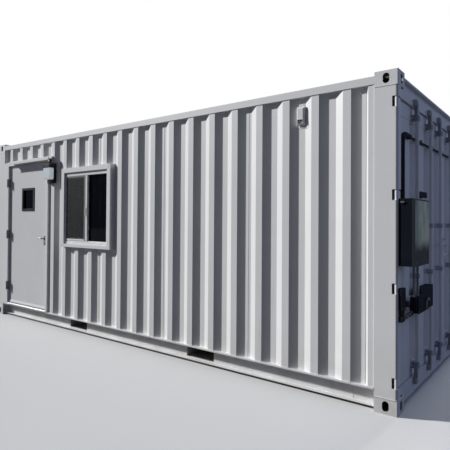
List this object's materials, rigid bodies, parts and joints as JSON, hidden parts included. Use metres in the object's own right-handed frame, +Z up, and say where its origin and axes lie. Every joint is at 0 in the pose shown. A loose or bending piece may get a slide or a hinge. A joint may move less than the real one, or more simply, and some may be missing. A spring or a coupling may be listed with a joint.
{
  "type": "shipping container cabin",
  "caption": "Steel shipping container turned into a cabin, with a personnel door, a sliding window, an outside light, wall vents and an electric panel on the cargo-door end.",
  "frame": {"origin": "on the ground, at the centre of the four twistlock slots under the corner castings", "axes": "+X along the length towards the cargo-door end, the side with the personnel door faces -Y, +Z up"},
  "size_m": [6.184, 2.538, 2.591],
  "materials": {
    "white_paint": "weathered semi-gloss",
    "under_paint": "matt underseal",
    "plywood": "worn varnish",
    "lining_board": "matt board",
    "frame_paint": "semi-gloss",
    "door_paint": "semi-gloss",
    "mill_aluminium": "mill finish",
    "black_trim": "satin",
    "dark_glass": "clear over a dark room",
    "zinc_steel": "zinc plated",
    "satin_steel": "satin",
    "white_vinyl": "smooth",
    "screen_mesh": "fine mesh",
    "black_housing": "satin",
    "prism_lens": "moulded prisms",
    "seal_rubber": "matt",
    "panel_paint": "powder coat",
    "cover_paint": "powder coat",
    "conduit_steel": "galvanised",
    "cable_jacket": "matt jacket",
    "cable_plastic": "moulded"
  },
  "bodies": {
    "cabin": {"bottom_castings": "white_paint", "top_castings": "white_paint", "cargo_end_posts": "white_paint", "blank_end_posts": "white_paint", "bottom_side_rails": "white_paint", "bottom_rail_webs": "white_paint", "pocket_straps": "white_paint", "top_side_rails": "white_paint", "end_rails": "white_paint", "cross_members": "under_paint", "fork_pockets": "under_paint", "floor_deck": "plywood", "roof_sheet": "white_paint", "front_wall": "white_paint", "front_wall_at_openings": "white_paint", "back_wall": "white_paint", "blank_end_wall": "white_paint", "front_lining": "lining_board", "back_lining": "lining_board", "blank_end_lining": "lining_board", "ceiling_lining": "lining_board", "door_frame": "frame_paint", "door_threshold": "mill_aluminium", "drip_cap": "frame_paint", "door_hinge_jamb_plates": "zinc_steel", "window_surround": "frame_paint", "window_frame": "white_vinyl", "window_sash": "white_vinyl", "window_glass": "dark_glass", "screen_frame": "white_vinyl", "window_screen": "screen_mesh", "wall_vents": "white_paint", "light_housing": "black_housing", "light_lens": "prism_lens", "cargo_leaves": "white_paint", "cargo_door_seals": "seal_rubber", "cargo_hinges": "white_paint", "locking_bars": "white_paint", "bar_keepers": "white_paint", "bar_handles": "white_paint", "electric_panel": "panel_paint", "panel_cover": "cover_paint", "service_boxes": "panel_paint", "conduits": "conduit_steel", "service_cable": "cable_jacket", "cable_fittings": "cable_plastic"},
    "door": {"door_leaf": "door_paint", "vision_frame": "black_trim", "vision_glass": "dark_glass", "door_hinge_leaf_plates": "zinc_steel", "door_lock_plates": "satin_steel"},
    "lever": {"door_lever": "satin_steel"}
  },
  "joints": [
    {"name": "personnel_door", "type": "hinge", "parent": "cabin", "child": "door", "pos_m": [-2.721, -1.2385, 1.221], "axis": [0, 0, -1], "range_deg": [0, 110]},
    {"name": "door_lever", "type": "hinge", "parent": "door", "child": "lever", "pos_m": [-1.758, -1.193, 1.186], "axis": [0, -1, 0], "range_deg": [0, 40], "stiffness_Nm_per_rad": 1.2, "springref_deg": -20.05}
  ]
}
